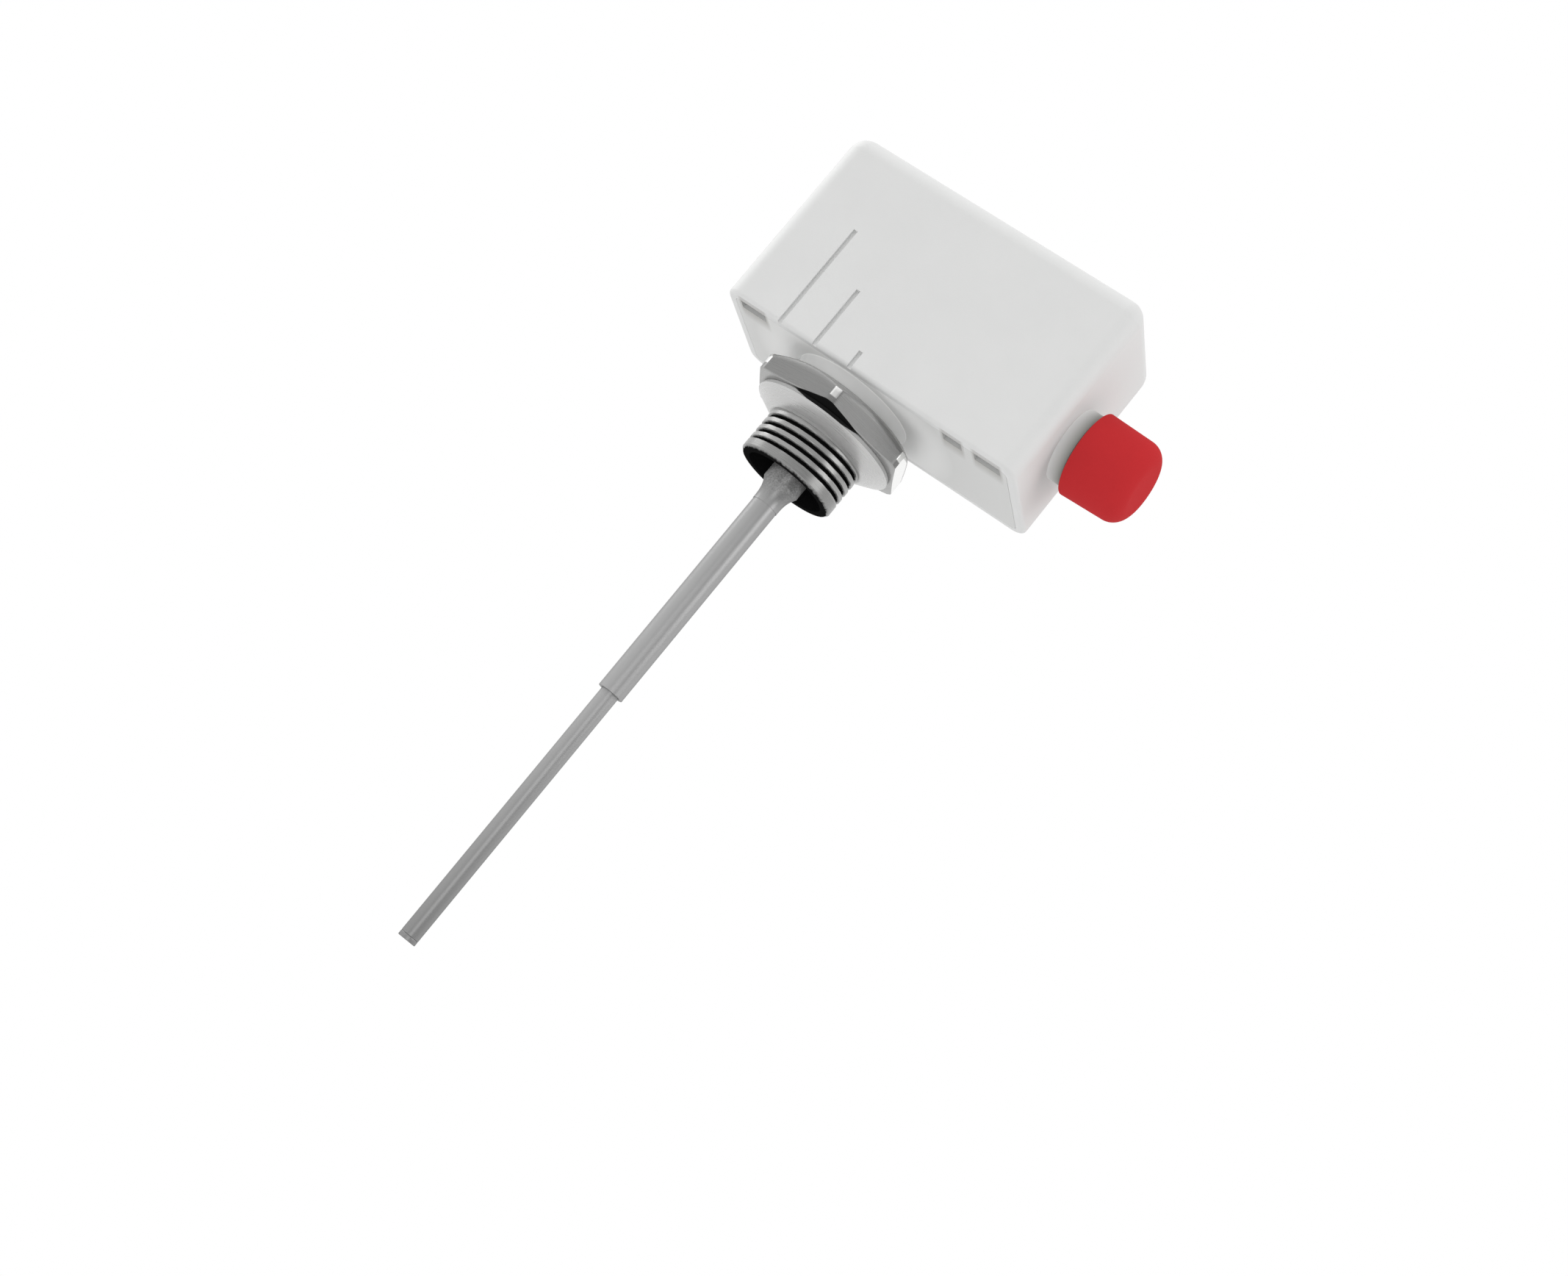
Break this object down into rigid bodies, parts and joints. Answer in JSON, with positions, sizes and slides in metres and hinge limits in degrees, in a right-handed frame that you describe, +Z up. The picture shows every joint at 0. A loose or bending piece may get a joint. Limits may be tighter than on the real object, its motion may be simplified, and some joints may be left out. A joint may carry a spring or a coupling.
{
  "type": "screw-in temperature sensor",
  "caption": "Immersion temperature sensor: slim stepped steel stem on a hexagon pipe-thread fitting, under a pale plastic terminal hood with a capped cable entry in its end wall.",
  "frame": {"origin": "on the stem's axis, in the plane of the shoulder above the thread, where the fitting seats", "axes": "+Z up along the stem's axis into the hood, -Y out of the grooved front of the hood, +X along the cable entry out of the end wall"},
  "size_m": [0.0845, 0.0356, 0.1728],
  "materials": {
    "fitting_steel": "turned satin steel",
    "stem_steel": "drawn satin steel",
    "plated_steel": "zinc plated",
    "housing_plastic": "fine moulded texture",
    "base_plastic": "fine moulded texture",
    "cap_red": "soft satin",
    "entry_plastic": "fine moulded texture",
    "gasket_silicone": "matt",
    "seal_rubber": "matt",
    "plug_silicone": "matt",
    "board_laminate": "solder mask",
    "terminal_plastic": "moulded",
    "wire_metal": "tinned",
    "element_white": "fired ceramic"
  },
  "bodies": {
    "base": {"threaded_fitting": "fitting_steel", "thread_seal": "seal_rubber", "fitting_gasket": "gasket_silicone", "lock_washer": "plated_steel", "lock_nut": "plated_steel", "stem_tube": "stem_steel", "stem_ferrule": "stem_steel", "tip_tube": "stem_steel", "tip_plug": "stem_steel", "sensing_element": "element_white", "sensor_leads": "wire_metal", "lead_insulator": "element_white", "bore_plug": "plug_silicone", "base_plate": "base_plastic", "circuit_board": "board_laminate", "board_screws": "plated_steel", "terminal_block": "terminal_plastic", "terminal_pins": "wire_metal"},
    "cover": {"hood": "housing_plastic", "entry_stub": "entry_plastic", "entry_seal": "seal_rubber", "entry_grommet": "seal_rubber", "entry_lock_nut": "entry_plastic"},
    "cap": {"closing_cap": "cap_red"},
    "clamp_1": {"terminal_screw_1": "plated_steel"},
    "clamp_2": {"terminal_screw_2": "plated_steel"}
  },
  "joints": [
    {"name": "hood_lift", "type": "slide", "parent": "base", "child": "cover", "axis": [0, 0, 1], "range_m": [0, 0.045]},
    {"name": "cap_pull", "type": "slide", "parent": "cover", "child": "cap", "axis": [1, 0, 0], "range_m": [0, 0.06]},
    {"name": "clamp_1_turn", "type": "hinge", "parent": "base", "child": "clamp_1", "pos_m": [0.013, -0.00254, 0.0349], "axis": [0, 0, 1], "range_deg": [0, 720]},
    {"name": "clamp_2_turn", "type": "hinge", "parent": "base", "child": "clamp_2", "pos_m": [0.013, 0.00254, 0.0349], "axis": [0, 0, 1], "range_deg": [0, 720]}
  ]
}
